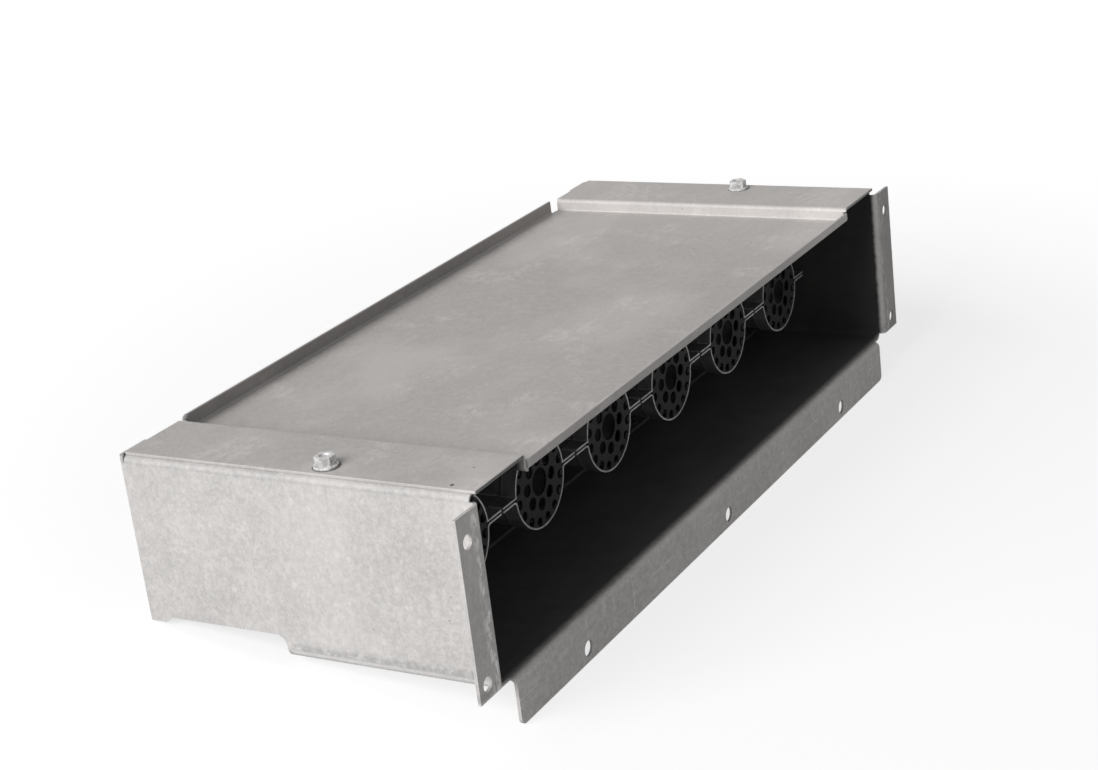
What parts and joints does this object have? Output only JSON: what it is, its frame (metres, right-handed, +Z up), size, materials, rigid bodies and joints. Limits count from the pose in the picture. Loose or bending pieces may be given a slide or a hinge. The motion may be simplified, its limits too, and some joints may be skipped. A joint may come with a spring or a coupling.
{
  "type": "gas burner box",
  "caption": "Sheet-steel box holding a row of in-shot gas burners, with an open flanged front and a screwed-on cover.",
  "frame": {"origin": "centre of the four side flange holes, on the front face that bolts up; the burner axes lie at the same height", "axes": "+X along the box, +Y from the open front to the rear, +Z up through the cover"},
  "size_m": [0.4586, 0.1858, 0.1123],
  "materials": {
    "galvanised_housing": "galvanised steel sheet with a fine spangle",
    "galvanised_cover": "galvanised steel sheet, slightly dulled",
    "galvanised_bracket": "galvanised steel sheet",
    "zinc_screw": "bright zinc plate",
    "dulled_screw": "zinc plate dulled by heat",
    "rivet": "plain",
    "burner_steel": "aluminised steel, bright on its cut edges",
    "insert_steel": "dull stamped steel"
  },
  "bodies": {
    "housing": {"housing_shell": "galvanised_housing", "rail_screws": "zinc_screw", "burner_screws": "dulled_screw", "support_rivets": "rivet", "front_support": "galvanised_bracket", "rear_rail": "galvanised_bracket", "burner_1_upper_shell": "burner_steel", "burner_1_lower_shell": "burner_steel", "burner_1_flame_insert": "insert_steel", "burner_2_upper_shell": "burner_steel", "burner_2_lower_shell": "burner_steel", "burner_2_flame_insert": "insert_steel", "burner_3_upper_shell": "burner_steel", "burner_3_lower_shell": "burner_steel", "burner_3_flame_insert": "insert_steel", "burner_4_upper_shell": "burner_steel", "burner_4_lower_shell": "burner_steel", "burner_4_flame_insert": "insert_steel", "burner_5_upper_shell": "burner_steel", "burner_5_lower_shell": "burner_steel", "burner_5_flame_insert": "insert_steel", "burner_6_upper_shell": "burner_steel", "burner_6_lower_shell": "burner_steel", "burner_6_flame_insert": "insert_steel"},
    "cover": {"top_cover": "galvanised_cover", "cover_screws": "zinc_screw"}
  },
  "joints": [
    {"name": "cover_lift", "type": "slide", "parent": "housing", "child": "cover", "axis": [0, 0, 1], "range_m": [0, 0.06]}
  ]
}
